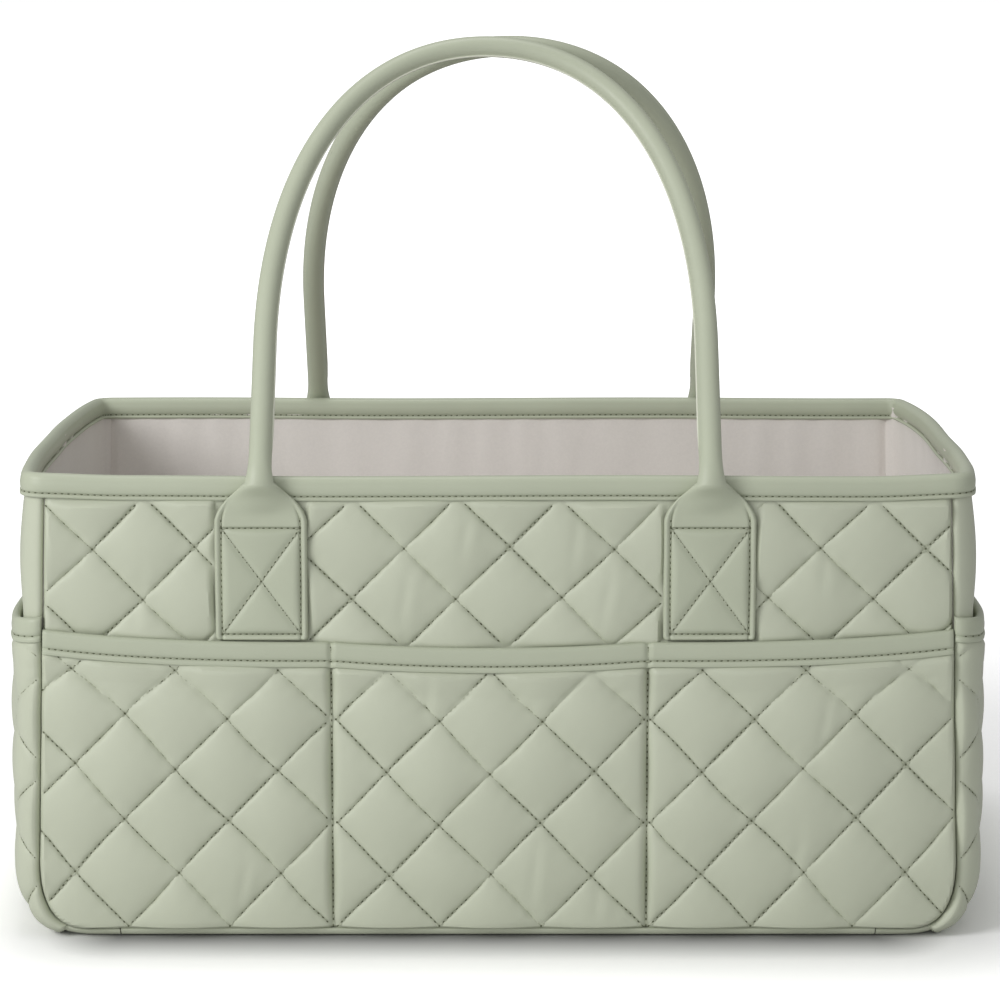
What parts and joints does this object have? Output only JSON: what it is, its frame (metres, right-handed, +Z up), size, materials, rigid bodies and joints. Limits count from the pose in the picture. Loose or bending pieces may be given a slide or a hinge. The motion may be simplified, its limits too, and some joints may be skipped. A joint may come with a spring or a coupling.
{
  "type": "diaper caddy",
  "caption": "Open quilted soft caddy with pockets all round, bound rim, swinging rope handles and lift-out padded dividers.",
  "frame": {"origin": "middle of the flat underside, on the surface that the caddy stands on", "axes": "+X along the length to the right seen from the front, +Y from front to back, +Z up"},
  "size_m": [0.402, 0.2498, 0.3527],
  "materials": {
    "faux_leather": "smooth matte faux leather, sage green, stitched in diamonds",
    "binding_tape": "smooth folded faux leather tape, satin",
    "lining_cloth": "fine woven lining, taupe grey",
    "stiffener_board": "dull stiffener sheet",
    "rope_core": "twisted cotton rope",
    "hook_and_loop": "hook and loop tape"
  },
  "bodies": {
    "caddy_body": {"base_panel": "faux_leather", "base_board": "stiffener_board", "base_lining": "lining_cloth", "rim_binding": "binding_tape", "front_panel": "faux_leather", "front_board": "stiffener_board", "front_lining": "lining_cloth", "front_pocket": "faux_leather", "front_pocket_binding": "binding_tape", "front_left_tab": "binding_tape", "front_right_tab": "binding_tape", "back_panel": "faux_leather", "back_board": "stiffener_board", "back_lining": "lining_cloth", "back_pocket": "faux_leather", "back_pocket_binding": "binding_tape", "back_left_tab": "binding_tape", "back_right_tab": "binding_tape", "left_end_panel": "faux_leather", "left_board": "stiffener_board", "left_lining": "lining_cloth", "left_pocket": "faux_leather", "left_pocket_binding": "binding_tape", "left_front_loop_tape": "hook_and_loop", "left_back_loop_tape": "hook_and_loop", "right_end_panel": "faux_leather", "right_board": "stiffener_board", "right_lining": "lining_cloth", "right_pocket": "faux_leather", "right_pocket_binding": "binding_tape", "right_front_loop_tape": "hook_and_loop", "right_back_loop_tape": "hook_and_loop"},
    "front_handle": {"front_handle_cover": "binding_tape", "front_handle_core": "rope_core"},
    "back_handle": {"back_handle_cover": "binding_tape", "back_handle_core": "rope_core"},
    "left_divider": {"left_divider_panel": "lining_cloth", "left_divider_binding": "binding_tape", "left_divider_front_flap": "hook_and_loop", "left_divider_back_flap": "hook_and_loop"},
    "right_divider": {"right_divider_panel": "lining_cloth", "right_divider_binding": "binding_tape", "right_divider_front_flap": "hook_and_loop", "right_divider_back_flap": "hook_and_loop"}
  },
  "joints": [
    {"name": "front_handle_swing", "type": "hinge", "parent": "caddy_body", "child": "front_handle", "pos_m": [-0.00485, -0.1203, 0.185], "axis": [1, 0, 0], "range_deg": [0, 188]},
    {"name": "back_handle_swing", "type": "hinge", "parent": "caddy_body", "child": "back_handle", "pos_m": [0.00485, 0.1203, 0.185], "axis": [-1, 0, 0], "range_deg": [0, 188]},
    {"name": "left_divider_lift", "type": "slide", "parent": "caddy_body", "child": "left_divider", "axis": [0, 0, 1], "range_m": [0, 0.19]},
    {"name": "right_divider_lift", "type": "slide", "parent": "caddy_body", "child": "right_divider", "axis": [0, 0, 1], "range_m": [0, 0.19]}
  ]
}
